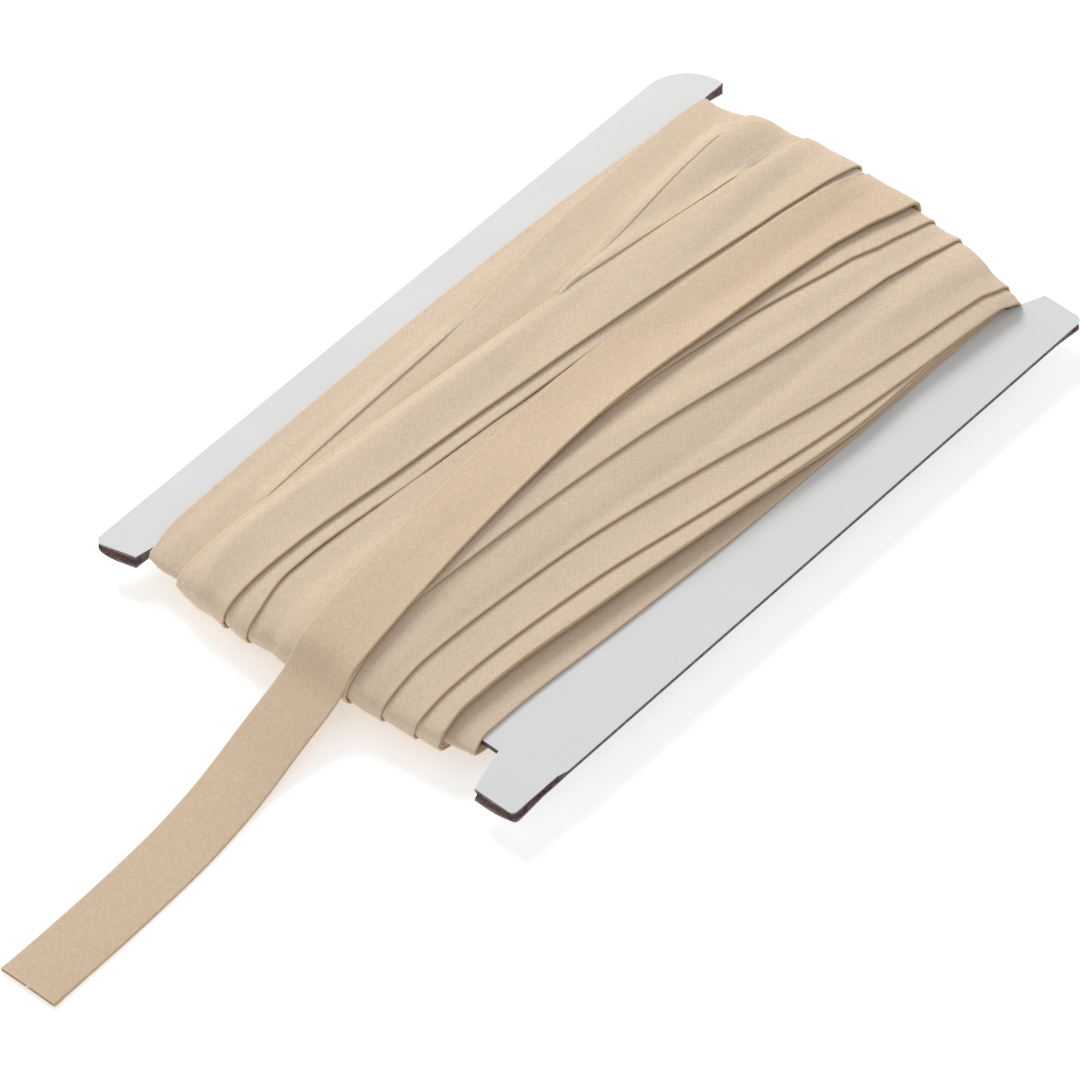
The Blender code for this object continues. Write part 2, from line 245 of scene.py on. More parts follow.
class WindingForm:
    """The path of the winding round the card, and how high the turns have piled on it.

    A station is a row of the form. The first is in the middle of the underside. They go on round
    the far end, back along the top, round the near end and to the middle of the underside again.
    """

    COLUMN = 0.2              # from column to column
    LOW_X = -48.0
    HIGH_X = 44.0
    MIDDLE_COLUMN = 240       # the column at x = 0
    PRESS = 0.78              # how flat the turns are pressed on the underside
    PRESS_FROM = 70.0         # degrees below the middle of a bend where they are pressed fully
    FULLNESS = 2.1            # exponent of the bend at an end, 2 for an ellipse
    UNDER_STEPS = 12
    TOP_STEPS = 80
    BEND_STEPS = 26
    EASED_COLUMNS = 11        # how far to each side the form's table is eased

    def __init__(self) -> None:
        """Lay out the stations and the columns, with nothing wound on them."""
        self.columns = np.arange(self.LOW_X, self.HIGH_X + self.COLUMN / 2, self.COLUMN)
        self.dome, near, far, run = (self._column_table(field) for field in (1, 2, 3, 4))
        top = INNER_TOP + self.dome
        low = INNER_LOW - self.dome * self.PRESS
        self.stretch: List[Stretch] = []
        self.place: List[float] = []
        self.press: List[float] = []
        rows: List[np.ndarray] = []

        def add(stretch: Stretch, place: float, ys: np.ndarray, zs: np.ndarray) -> None:
            """Add a station."""
            self.stretch.append(stretch)
            self.place.append(place)
            self.press.append(self._press_at(stretch, place))
            rows.append(np.stack([ys, zs], axis=-1))

        def bend(stretch: Stretch, angles: np.ndarray, reach: np.ndarray, sign: float) -> None:
            """Add the stations round an end."""
            power = 2.0 / self.FULLNESS
            for angle in angles:
                out = max(math.cos(math.radians(angle)), 0.0) ** power
                up = math.copysign(abs(math.sin(math.radians(angle))) ** power, angle)
                ys = sign * (reach - run + run * out)
                add(stretch, angle, ys, (top + low) / 2 + (top - low) / 2 * up)

        level = np.ones_like(self.columns)
        for y in np.linspace(0.0, UNDER_HALF, self.UNDER_STEPS + 1):
            add(Stretch.UNDER, y, y * level, low)
        bend(Stretch.FAR, np.linspace(-90.0, 90.0, self.BEND_STEPS + 1), far, 1.0)
        for y in np.linspace(TOP_HALF, -TOP_HALF, self.TOP_STEPS + 1):
            add(Stretch.TOP, y, y * level, top)
        bend(Stretch.NEAR, np.linspace(90.0, -90.0, self.BEND_STEPS + 1), near, -1.0)
        for y in np.linspace(-UNDER_HALF, 0.0, self.UNDER_STEPS + 1):
            add(Stretch.UNDER, y, y * level, low)

        self.base = np.array(rows)
        along = np.gradient(self.base, axis=0)
        normal = np.stack([along[..., 1], -along[..., 0]], axis=-1)
        self.outward = normal / np.linalg.norm(normal, axis=-1, keepdims=True)
        self.height = np.zeros(self.base.shape[:2])
        self.middle = self.base[:, self.MIDDLE_COLUMN]
        steps = np.linalg.norm(np.diff(self.middle, axis=0), axis=1)
        self.path = np.concatenate([[0.0], np.cumsum(steps)])

    def _column_table(self, field: int) -> np.ndarray:
        """One field of the form's table for every column, with its corners eased.

        Args:
            field: The field's number in a row of FORM_ACROSS.

        Returns:
            Its value at each column.
        """
        places = [row[0] for row in FORM_ACROSS]
        values = np.interp(self.columns, places, [row[field] for row in FORM_ACROSS])
        kernel = np.hanning(2 * self.EASED_COLUMNS + 1)
        padded = np.pad(values, self.EASED_COLUMNS, mode="edge")
        return np.convolve(padded, kernel / kernel.sum(), mode="valid")

    def _press_at(self, stretch: Stretch, place: float) -> float:
        """How much of their thickness the turns keep at a station.

        Args:
            stretch: The stretch it is on.
            place: The station's angle, if it is at an end.

        Returns:
            The share, 1 on top and PRESS on the underside.
        """
        if stretch in (Stretch.FAR, Stretch.NEAR):
            flat = min(max(-place / self.PRESS_FROM, 0.0), 1.0)
        else:
            flat = 1.0 if stretch is Stretch.UNDER else 0.0
        return 1.0 + (self.PRESS - 1.0) * flat * flat * (3.0 - 2.0 * flat)

    def stations(self) -> int:
        """How many stations there are."""
        return len(self.stretch)

    def point(self, station: int, x: float, rise: float) -> Vector:
        """The point at a station and a column that lies so high above the inner path.

        Args:
            station: Which station.
            x: Where across the pack, in millimetres.
            rise: How high above the inner turn's path, in millimetres.

        Returns:
            The point, in millimetres.
        """
        spot = (min(max(x, self.LOW_X), self.HIGH_X) - self.LOW_X) / self.COLUMN
        i = min(int(spot), len(self.columns) - 2)
        t = spot - i
        base = self.base[station, i] * (1 - t) + self.base[station, i + 1] * t
        out = self.outward[station, i] * (1 - t) + self.outward[station, i + 1] * t
        dome = self.dome[i] * (1 - t) + self.dome[i + 1] * t
        y, z = base + out * ((rise - dome) * self.press[station])
        return Vector((x, float(y), float(z)))


def smooth_rows(values: np.ndarray, weight: np.ndarray, axis: int, reach: int) -> np.ndarray:
    """Even values out along one axis, counting only where there is weight.

    Args:
        values: The values.
        weight: One where a value counts, zero where not.
        axis: The axis to even them out along.
        reach: How many cells to each side count.

    Returns:
        The evened values.
    """
    total = np.zeros_like(values)
    counted = np.zeros_like(values)
    for step in range(-reach, reach + 1):
        share = math.cos(math.pi / 2 * step / (reach + 1)) ** 2
        wrapped = [slice(None)] * values.ndim
        wrapped[axis] = slice(0, step) if step >= 0 else slice(step, None)
        for summed, source in ((total, values * weight), (counted, weight)):
            moved = np.roll(source, step, axis)
            moved[tuple(wrapped)] = 0.0
            summed += share * moved
    return total / np.maximum(counted, 1e-9)


def evened(path: np.ndarray, values: np.ndarray, reach: float) -> np.ndarray:
    """A line evened out along its path, with its two ends kept.

    Args:
        path: How far along each value lies.
        values: The line's values.
        reach: How far along the path the evening goes.

    Returns:
        The evened values.
    """
    share = np.exp(-(((path[:, None] - path[None, :]) / reach) ** 2)) * np.gradient(path)[None, :]
    even = share @ values / share.sum(axis=1)
    even[0], even[-1] = values[0], values[-1]
    return even


def monotone_curve(at: np.ndarray, places: np.ndarray, values: np.ndarray) -> np.ndarray:
    """A smooth curve through a table's rows that doesn't swing past them.

    Args:
        at: Where to read the curve.
        places: The rows' places, in rising order.
        values: The rows' values.

    Returns:
        The curve's values.
    """
    steps = np.diff(places)
    slopes = np.diff(values) / steps
    tangent = np.zeros(len(places))
    tangent[0], tangent[-1] = slopes[0], slopes[-1]
    for i in range(1, len(places) - 1):
        before, after = slopes[i - 1], slopes[i]
        if before * after > 0:
            tangent[i] = 2 * before * after / (before + after)
    row = np.clip(np.searchsorted(places, at, side="right") - 1, 0, len(places) - 2)
    t = (at - places[row]) / steps[row]
    leave, arrive = steps[row] * tangent[row], steps[row] * tangent[row + 1]
    first = (2 * t ** 3 - 3 * t ** 2 + 1) * values[row] + (t ** 3 - 2 * t ** 2 + t) * leave
    return first + (-2 * t ** 3 + 3 * t ** 2) * values[row + 1] + (t ** 3 - t ** 2) * arrive


@dataclass
class LaidTurn:
    """A turn as it lies.

    Attributes:
        turn: The turn.
        middle: Its middle line, station by station.
        slant: How steeply that line crosses the path.
        rise: How high its inner face is, station by station and column by column.
        pressed_at: The edge that presses it down, if one does.
        pressed_step: The step across it that stays at the left of that edge.
        puff: How far it stands up beside that edge, station by station.
    """

    turn: Turn
    middle: np.ndarray
    slant: np.ndarray
    rise: np.ndarray
    pressed_at: Optional[np.ndarray] = None
    pressed_step: int = 0
    puff: Optional[np.ndarray] = None


class Winder:
    """Lays the turns over each other on the form, each one draped on those before it."""

    LINE_REACH = 5.0          # how far along the path a middle line's bends are evened
    BELOW_SHARE = 0.25        # how much of its way below a turn has gone where the bend ends
    NOTHING = -9.0            # a height under everything that is laid
    DRAPE_REACH = 5.0         # how far across a turn a raised place lifts it
    EVEN_ACROSS = 5           # columns that a turn's rise is evened over, to each side
    EVEN_ALONG = 3            # stations, in the same way
    LIFT_FROM = 3.0           # height above which edges stand off, fully so at twice this height
    PRESSED_STEPS = (5, 20)   # the steps that the pressing edge may be at
    JOIN_STATIONS = 5         # how long a turn takes to leave the height of the one before it

    def __init__(self, form: WindingForm) -> None:
        """Start with an empty form.

        Args:
            form: The form to wind on.
        """
        self.form = form
        self.laid: List[LaidTurn] = []

    def middle_line(self, turn: Turn, before: Optional[Turn], after: Optional[Turn]) -> np.ndarray:
        """The turn's middle line, from the turn before it to the one after.

        Args:
            turn: The turn.
            before: The turn wound before it, if there is one.
            after: The turn wound after it, if there is one.

        Returns:
            The line's place across the pack, station by station.
        """
        form = self.form
        count = form.stations()
        start = turn.far if before is None else (before.near + turn.far) / 2
        end = turn.near if after is None else (turn.near + after.far) / 2
        marks = (
            (Stretch.FAR, 0.0, turn.far),
            (Stretch.NEAR, 0.0, turn.near),
            (Stretch.FAR, -90.0, turn.far + self.BELOW_SHARE * (start - turn.far)),
            (Stretch.NEAR, -90.0, turn.near + self.BELOW_SHARE * (end - turn.near)),
        )
        knots: List[Tuple[int, float]] = [(0, start), (count - 1, end)]
        for station in range(count):
            for stretch, place, x in marks:
                if form.stretch[station] is stretch and abs(form.place[station] - place) < 0.01:
                    knots.append((station, x))
        above = [
            i for i in range(count)
            if form.stretch[i] is not Stretch.UNDER and form.middle[i, 1] >= CARD_TOP
        ]
        for place, x in zip(TOP_PLACES, turn.top):
            knots.append((min(above, key=lambda i: abs(form.middle[i, 0] - place)), x))
        knots.sort()
        places = np.array([form.path[i] for i, _ in knots])
        values = np.array([x for _, x in knots])
        return evened(form.path, monotone_curve(form.path, places, values), self.LINE_REACH)

    def lay(self, turn: Turn, middle: np.ndarray, pressed_at: Optional[np.ndarray]) -> None:
        """Lay one turn over what is there, and pile it onto the form.

        Args:
            turn: The turn to lay.
            middle: Its middle line, station by station.
            pressed_at: The edge that presses it down, if one does.
        """
        form = self.form
        slant = np.gradient(middle, form.path)
        half = turn.width / 2 * np.sqrt(1 + slant ** 2)
        offset = form.columns[None, :] - middle[:, None]
        under = np.abs(offset) <= half[:, None]
        support = np.where(under, form.height, self.NOTHING)
        rise = support.copy()
        for step in range(1, int(self.DRAPE_REACH / form.COLUMN)):
            drop = (step * form.COLUMN) ** 2 / (2 * turn.ease)
            rise = np.maximum(rise, np.roll(support, step, 1) - drop)
            rise = np.maximum(rise, np.roll(support, -step, 1) - drop)
        weight = under.astype(float)
        for _ in range(2):
            rise = smooth_rows(rise, weight, 1, self.EVEN_ACROSS)
            rise = smooth_rows(rise, weight, 0, self.EVEN_ALONG)
            rise = np.maximum(rise, support)
        share = offset / half[:, None]
        rise = rise + np.clip(share, 0.0, 1.0) ** 2 * self._lift(turn.lift)[:, None]
        rise = rise + np.clip(-share, 0.0, 1.0) ** 4 * self._lift(turn.lift_left)[:, None]
        rise = rise + self._lift(turn.off)[:, None]
        if self.laid:
            rise = self._joined(rise, self.laid[-1], middle)
        laid = LaidTurn(turn, middle, slant, rise, pressed_at)
        if pressed_at is not None:
            on_top = np.abs(form.middle[:, 0]) < TOP_HALF
            across = float(np.median((pressed_at - middle)[on_top] / turn.width + 0.5))
            lowest, highest = self.PRESSED_STEPS
            laid.pressed_step = int(min(max(turn.placing.value * across, lowest), highest))
            laid.puff = self._lift(turn.puff)
        form.height = np.where(under, np.maximum(form.height, rise + TURN_THICK), form.height)
        both = np.maximum(form.height[0], form.height[-1])
        form.height[0] = both
        form.height[-1] = both
        self.laid.append(laid)

    def _lift(self, table: Sequence[Tuple[float, float]]) -> np.ndarray:
        """How far something stands off at each station, which it doesn't on the underside.

        Args:
            table: Heights for places along the pack.

        Returns:
            The height at each station.
        """
        ys, zs = self.form.middle.T
        lift = np.interp(ys, [row[0] for row in table], [row[1] for row in table])
        return lift * np.clip((zs - self.LIFT_FROM) / self.LIFT_FROM, 0.0, 1.0)

    def _joined(self, rise: np.ndarray, last: LaidTurn, middle: np.ndarray) -> np.ndarray:
        """Let a turn go on from the one before, at the middle of the underside.

        Args:
            rise: How high the turn's inner face is.
            last: The turn before it.
            middle: The turn's middle line.

        Returns:
            The rise that starts where the turn before ends.
        """
        columns = self.form.columns
        end = np.interp(columns - middle[0] + last.middle[-1], columns, last.rise[-1])
        joined = rise.copy()
        for i in range(self.JOIN_STATIONS):
            share = i / self.JOIN_STATIONS
            joined[i] = end * (1 - share) + rise[i] * share
        return joined


@dataclass
class Ring:
    """The strip's middle face at one place: points across it, and the way up from each.

    Attributes:
        points: The points, from the strip's left to its right.
        ups: The way up from each.
        across: How far each is from the strip's middle, on the flat strip.
        along: How far along the strip the place is.
        press: How much of its thickness the strip keeps there.
    """

    points: List[Vector]
    ups: List[Vector]
    across: List[float]
    along: float
    press: float = 1.0


PLAIN_ROUND = (45.0, 90.0, 135.0)                   # angles round a closed strip's edge
FOLD_ROUND = (30.0, 60.0, 90.0, 120.0, 150.0)       # and round a fold that shows its inside
FLAP_EDGES = (-0.35, -0.05)                         # where the edges that are folded in end


def section_outline(ring: Ring, thick: float, folded: bool) -> Tuple[List[Vector], List[float]]:
    """The strip's closed outline at one place.

    Args:
        ring: The middle face there.
        thick: The folded strip's thickness.
        folded: True for the cloth's own folded section, False for a plain closed one.

    Returns:
        The outline's points, and for each the distance across the cloth from its middle.
    """
    half = thick / 2
    points, ups, across = ring.points, ring.ups, ring.across
    last = len(points) - 1
    outline: List[Vector] = []
    places: List[float] = []

    def arc(end: int, radius: float, angles: Sequence[float]) -> None:
        """Go round the edge at one end of the ring."""
        side = (points[end] - points[abs(end - 1)]).normalized()
        for angle in angles:
            turn = math.radians(angle)
            out, up = radius * math.sin(turn), radius * math.cos(turn)
            outline.append(points[end] + side * out + ups[end] * up)
            places.append(across[end] + math.copysign(half * turn, across[end]))

    def upper(order: Sequence[int], height: float) -> None:
        """Go along the upper face, at a height over the middle one."""
        for i in order:
            outline.append(points[i] + ups[i] * height)
            places.append(across[i])

    def lower(order: Sequence[int], depth: float) -> None:
        """Go along the lower face, which is the cloth's edges folded in."""
        for i in order:
            outline.append(points[i] + ups[i] * -depth)
            beyond = 2 * across[last] + half * math.pi
            places.append(math.copysign(beyond, across[i]) - across[i])

    if not folded:
        upper(range(0, last + 1), half)
        arc(last, half, PLAIN_ROUND)
        lower((last, last - 1, (last + 1) // 2, 1, 0), half)
        arc(0, half, PLAIN_ROUND[::-1])
        return outline, places
    inner = half - CLOTH
    left_flap = [i for i in range(0, last + 1) if across[i] < FLAP_EDGES[0]]
    right_flap = [i for i in range(0, last + 1) if across[i] > FLAP_EDGES[1]]
    lower(left_flap[::-1], half)
    arc(0, half, FOLD_ROUND[::-1])
    upper(range(0, last + 1), half)
    arc(last, half, FOLD_ROUND)
    lower(right_flap[::-1], half)
    lower(right_flap, inner)
    arc(last, inner, FOLD_ROUND[::-1])
    upper(range(last, -1, -1), inner)
    arc(0, inner, FOLD_ROUND)
    lower(left_flap, inner)
    return outline, places


def unique(items: Iterable) -> List:
    """The items in their order, each of them once."""
    return list(dict.fromkeys(items))


def skin_strip(
    bm: bmesh.types.BMesh, rings: Sequence[Ring], thick: Sequence[float], folded: bool
) -> None:
    """Skin a strip through its rings as one closed solid with its own flat pattern coordinates.

    Args:
        bm: The mesh to add it to.
        rings: The strip's middle face, ring by ring.
        thick: The folded strip's thickness at each ring.
        folded: True for the cloth's own folded section.
    """
    outlines = [section_outline(ring, deep, folded) for ring, deep in zip(rings, thick)]
    around, rows = len(outlines[0][0]), len(rings)
    grid = bmesh.ops.create_grid(
        bm, x_segments=around, y_segments=rows - 1, size=0.5, calc_uvs=False
    )["verts"]
    ordered = sorted(grid, key=lambda v: (round(v.co.y, 6), round(v.co.x, 6)))
    spots: Dict[bmesh.types.BMVert, Tuple[int, int]] = {}
    for number, vert in enumerate(ordered):
        row, column = divmod(number, around + 1)
        spots[vert] = (row, column)
        vert.co = outlines[row][0][column % around]
    faces = unique(face for vert in grid for face in vert.link_faces)
    uv = bm.loops.layers.uv[PATTERN]
    for face in faces:
        for loop in face.loops:
            row, column = spots[loop.vert]
            loop[uv].uv = (outlines[row][1][min(column, around - 1)], rings[row].along)
    seam = [vert for vert in grid if spots[vert][1] in (0, around)]
    bmesh.ops.remove_doubles(bm, verts=seam, dist=1e-6)
    ends = unique(e for face in faces if face.is_valid for e in face.edges if e.is_boundary)
    for cap in bmesh.ops.holes_fill(bm, edges=ends, sides=0)["faces"]:
        for loop in cap.loops:
            loop[uv].uv = (0.0, rings[0].along)


def finished(
    name: str, bm: bmesh.types.BMesh, materials: Sequence[bpy.types.Material], sharp: float
) -> bpy.types.Object:
    """Keep a mesh that was made in millimetres as an object in metres.

    Args:
        name: The object's name.
        bm: The mesh, which is used up.
        materials: Its materials, in the order of their numbers.
        sharp: Edges that turn by more than this many degrees stay sharp.

    Returns:
        The object, at the origin.
    """
    bmesh.ops.scale(bm, vec=(MM, MM, MM), verts=bm.verts)
    bmesh.ops.recalc_face_normals(bm, faces=bm.faces)
    mesh = bpy.data.meshes.new(name)
    bm.to_mesh(mesh)
    bm.free()
    for made_of in materials:
        mesh.materials.append(made_of)
    mesh.shade_smooth()
    mesh.set_sharp_from_angle(angle=math.radians(sharp))
    made = bpy.data.objects.new(name, mesh)
    bpy.context.scene.collection.objects.link(made)
    LOG.info("%s: %d faces", name, len(mesh.polygons))
    return made


class WoundBinding:
    """All the turns of binding, which go on from turn to turn."""

    EVEN_SHARE = 0.45         # how evenly the steps across lie, 1 for evenly and 0 for a cosine's
    EDGE_ROOM = 0.6           # the least room between a pressing edge and the turn's own edge
    LEFT_OF_EDGE = 0.05       # how close to a pressing edge the last raised step is
    RIGHT_OF_EDGE = 0.15      # and the first one under it
    PUFF_REACH = 1.7          # how far from the pressing edge the turn stands up
    INNER_EVERY = 4           # hidden turns are modelled at each fourth station
    SHARP = 60.0

    def __init__(self, form: WindingForm) -> None:
        """Wind the turns.

        Args:
            form: The empty form.
        """
        self.form = form
        self.winder = Winder(form)
        turns = inner_turns() + list(OUTER_TURNS) + [LAST_TURN]
        lines: Dict[str, np.ndarray] = {}
        for before, turn, after in zip([None] + turns, turns, turns[1:] + [None]):
            lines[turn.name] = self.winder.middle_line(turn, before, after)
        for turn in turns:
            over = lines.get(turn.pressed_by)
            edge = None if over is None else over - FOLDED_WIDTH / 2
            self.winder.lay(turn, lines[turn.name], edge)

    def ring(self, laid: LaidTurn, station: int, along: float) -> Ring:
        """The strip's middle face where a turn passes a station.

        Args:
            laid: The turn as it lies.
            station: The station.
            along: How far along the strip its middle is.

        Returns:
            The ring.
        """
        form = self.form
        steps = laid.turn.placing.value
        stretch = math.sqrt(1 + laid.slant[station] ** 2)
        reach = laid.turn.width / 2 - TURN_THICK / 2
        points, ups, across = [], [], []
        even = np.linspace(0.0, 1.0, steps + 1)
        crowded = (1 - self.EVEN_SHARE) * np.cos(math.pi * even)
        places = reach * (self.EVEN_SHARE * (2 * even - 1) - crowded)
        edge = 0.0
        if laid.pressed_at is not None:
            edge = (laid.pressed_at[station] - laid.middle[station]) / stretch
            edge = min(max(edge, self.EDGE_ROOM - reach), reach - self.EDGE_ROOM)
            left, right = (float(places[laid.pressed_step + i]) for i in (0, 1))
            straddled = [-reach, edge - self.LEFT_OF_EDGE, edge + self.RIGHT_OF_EDGE, reach]
            places = np.interp(places, [-reach, left, right, reach], straddled)
        for step, u in enumerate(places):
            x = laid.middle[station] + u * stretch
            rise = float(np.interp(x, form.columns, laid.rise[station]))
            if laid.puff is not None and step <= laid.pressed_step:
                near_edge = math.exp(-(((edge - u) / self.PUFF_REACH) ** 2))
                rise += float(laid.puff[station]) * near_edge
            points.append(form.point(station, x, rise + TURN_THICK / 2))
            y, z = form.outward[station, int((x - form.LOW_X) / form.COLUMN)]
            ups.append(Vector((0.0, float(y), float(z))))
            across.append(float(u) - (laid.turn.width - FOLDED_WIDTH) / 2)
        for i in range(steps + 1):
            side = points[min(i + 1, steps)] - points[max(i - 1, 0)]
            up = ups[i] - side * (ups[i].dot(side) / side.length_squared)
            ups[i] = up.normalized()
        return Ring(points, ups, across, along, form.press[station])

    def rings(self, laid: LaidTurn, end: int, start: float) -> Tuple[List[Ring], float]:
        """A turn's rings from the first station on.

        Args:
            laid: The turn as it lies.
            end: The station after the last.
            start: How far along the strip the first station is.

        Returns:
            The rings, and how far along the strip the last one is.
        """
        every = self.INNER_EVERY if laid.turn.placing is Placing.INNER else 1
        made: List[Ring] = []
        along = start
        before: Optional[Vector] = None
        for station in range(end):
            if station % every and station != end - 1:
                continue
            ring = self.ring(laid, station, along)
            middle = ring.points[len(ring.points) // 2]
            if before is not None:
                along += (middle - before).length
                ring.along = along
            before = middle
            made.append(ring)
        return made, along

    def build(self, cloth: bpy.types.Material) -> bpy.types.Object:
        """Model every turn but the last.

        Args:
            cloth: The cloth's material.

        Returns:
            The wound binding.
        """
        bm = bmesh.new()
        bm.loops.layers.uv.new(PATTERN)
        along = 0.0
        for laid in self.winder.laid[:-1]:
            rings, along = self.rings(laid, self.form.stations(), along)
            skin_strip(bm, rings, [TURN_THICK * ring.press for ring in rings], folded=False)
        return finished("wound_binding_turns", bm, [cloth], self.SHARP)


class LooseEnd:
    """The last turn, which lies over the others and drops to its free end on the surface."""

    LEAVE_ANGLE = 30.0        # how far up the near bend it leaves the winding, in degrees
    FALL = (                  # its way down from there, as places along the pack and heights
        (-78.8, 5.95), (-81.6, 4.95), (-84.9, 4.12), (-89.0, 3.2), (-94.5, 1.95), (-100.5, 1.0),
        (-108.0, 0.42),
    )
    ON_SURFACE = 0.36         # height of its middle face where it lies on the surface
    WAVE = 0.05               # how far it waves up and down there
    WAVE_RATE = 0.11          # radians of a wave for each millimetre
    END_LIFT = 0.12           # how far the free end stands up
    FREE_END = -156.5
    SURFACE_STEP = 3.0
    ROUTE = (                 # places along the pack, and where across it the middle line is
        (-156.5, 8.4), (-140.0, 8.1), (-120.0, 7.2), (-106.0, 5.6), (-92.0, 3.6), (-79.0, 2.3),
        (-64.0, 0.8),
    )
    ROUTE_EASE = 12.0         # how soon it is on its route
    SHAPE_EASE = 14.0         # how soon it has lost the shape that the pile gave it
    LEAD = 5                  # rings on the pile that its line goes on from
    BOW = 0.10                # how far its middle stands over its edges
    LOOSER = 0.08             # how much thicker than a pressed turn it is
    OPENING = 0.30            # how much more it opens at its free end
    OPENING_LENGTH = 4.0

    def __init__(self, winding: WoundBinding) -> None:
        """Take the last turn from the winding.

        Args:
            winding: The wound turns, the last one among them.
        """
        self.winding = winding
        self.laid = winding.winder.laid[-1]
        self.length = 0.0

    def _free_line(self, wound: List[Ring]) -> Tuple[np.ndarray, List[Vector]]:
        """The middle line from where it leaves the winding to the free end.

        Args:
            wound: Its rings on the winding.

        Returns:
            How far from there each of its points but the first is, and the points.
        """
        lead = [ring.points[len(ring.points) // 2] for ring in wound[-self.LEAD:]]
        start = lead[-1]
        line = [(point.y, point.z) for point in lead] + list(self.FALL)
        y = self.FALL[-1][0]
        while y > self.FREE_END + self.SURFACE_STEP:
            y -= self.SURFACE_STEP
            line.append((y, self.ON_SURFACE + self.WAVE * math.sin(y * self.WAVE_RATE)))
        line.append((self.FREE_END, self.ON_SURFACE + self.END_LIFT))
        steps = [math.dist(a, b) for a, b in zip(line, line[1:])]
        distances = np.concatenate([[0.0], np.cumsum(steps)])
        distances -= distances[len(lead) - 1]
        end = distances[-1]
        at = np.concatenate([np.arange(0.6, 12.0, 0.8), np.arange(12.0, end - 1.0, 2.0), [end]])
        ys = monotone_curve(at, distances, np.array([p[0] for p in line]))
        zs = monotone_curve(at, distances, np.array([p[1] for p in line]))
        along, across = (np.array(column) for column in zip(*self.ROUTE))
        aside = start.x - float(monotone_curve(np.array([start.y]), along, across)[0])
        xs = monotone_curve(ys, along, across) + aside * np.exp(-at / self.ROUTE_EASE)
        return at, [start] + [Vector((float(x), float(y), float(z))) for x, y, z in zip(xs, ys, zs)]

    def _free_rings(self, wound: List[Ring]) -> List[Ring]:
        """The rings from where it leaves the winding to the free end.

        Args:
            wound: Its rings on the winding.

        Returns:
            The rings that follow those.
        """
        last = wound[-1]
        at, middle = self._free_line(wound)
        first_side = (last.points[-1] - last.points[0]).normalized()
        reach = FOLDED_WIDTH / 2 - TURN_THICK / 2
        rings = []
        along = last.along
        for i in range(1, len(middle)):
            ahead = (middle[min(i + 1, len(middle) - 1)] - middle[i - 1]).normalized()
            square = Vector((-ahead.y, ahead.x, 0.0)).normalized()
            blend = min(1.0, float(at[i - 1]) / self.SHAPE_EASE)
            blend = blend * blend * (3.0 - 2.0 * blend)
            side = (first_side * (1 - blend) + square * blend).normalized()
            up = ahead.cross(side).normalized()
            along += (middle[i] - middle[i - 1]).length
            points, ups = [], []
            for u, point, lean in zip(last.across, last.points, last.ups):
                bow = self.BOW * (1 - (u / reach) ** 2) * blend
                kept = (point - middle[0] - first_side * u) * (1 - blend)
                points.append(middle[i] + side * u + up * bow + kept)
                ups.append((lean * (1 - blend) + up * blend).normalized())
            rings.append(Ring(points, ups, last.across, along))
        return rings

    def build(self, cloth: bpy.types.Material) -> bpy.types.Object:
        """Model the last turn and its free end.

        Args:
            cloth: The cloth's material.

        Returns:
            The loose end.
        """
        form = self.winding.form
        leave = next(
            i for i in range(form.stations())
            if form.stretch[i] is Stretch.NEAR and form.place[i] < self.LEAVE_ANGLE
        )
        rings, _ = self.winding.rings(self.laid, leave, 0.0)
        rings += self._free_rings(rings)
        self.length = rings[-1].along
        thick = []
        for ring in rings:
            opening = self.OPENING * math.exp(-(self.length - ring.along) / self.OPENING_LENGTH)
            thick.append(TURN_THICK * ring.press + self.LOOSER + opening)
        bm = bmesh.new()
        bm.loops.layers.uv.new(PATTERN)
        skin_strip(bm, rings, thick, folded=True)
        LOG.info("loose end: %.1f mm long in %d rings", self.length, len(rings))
        return finished("loose_end_strip", bm, [cloth], self.winding.SHARP)


@dataclass(frozen=True)
class Ear:
    """One long side of the card, told in its own distances from the middle line.

    Attributes:
        side: -1 for the left one, 1 for the right one.
        near_tip: Where its near end lies at its long edge.
        far_tip: Where its far end lies.
        inner_web: Its inner edge beside the winding.
        inner_near: Its inner edge at the near end.
        inner_far: Its inner edge at the far end.
        near_round: Radius of its near outer corner.
        far_round: Radius of its far outer corner.
        swell: How far its leaves stand open at the ends.
        slant: How much shorter its near end is at the inner corner.
        torn_from: Where along it the lining is torn off the long edge, to the near end.
    """

    side: int
    near_tip: float
    far_tip: float
    inner_web: float
    inner_near: float
    inner_far: float
    near_round: float
    far_round: float
    swell: float
    slant: float
    torn_from: float


EARS = (
    Ear(-1, -79.5, 78.5, 38.6, 40.4, 38.6, 1.4, 9.8, 1.9, 1.9, -99.0),
    Ear(1, -77.7, 76.2, 36.6, 39.1, 39.6, 1.0, 1.6, 2.1, 0.0, -65.8),
)


def ear_at(x: float) -> Ear:
    """The ear on the side of the card that a place across it is on."""
    return EARS[0] if x < 0 else EARS[1]


def clamped(value: float) -> float:
    """The value, no lower than 0 and no higher than 1."""
    return min(max(value, 0.0), 1.0)


class BoardFace(Enum):
    """The parts of the card's surface, with the numbers of their finishes."""

    LINING = 0
    PRESSED_EDGE = 1
    OPEN_RIM = 2
    OPEN_CORE = 3


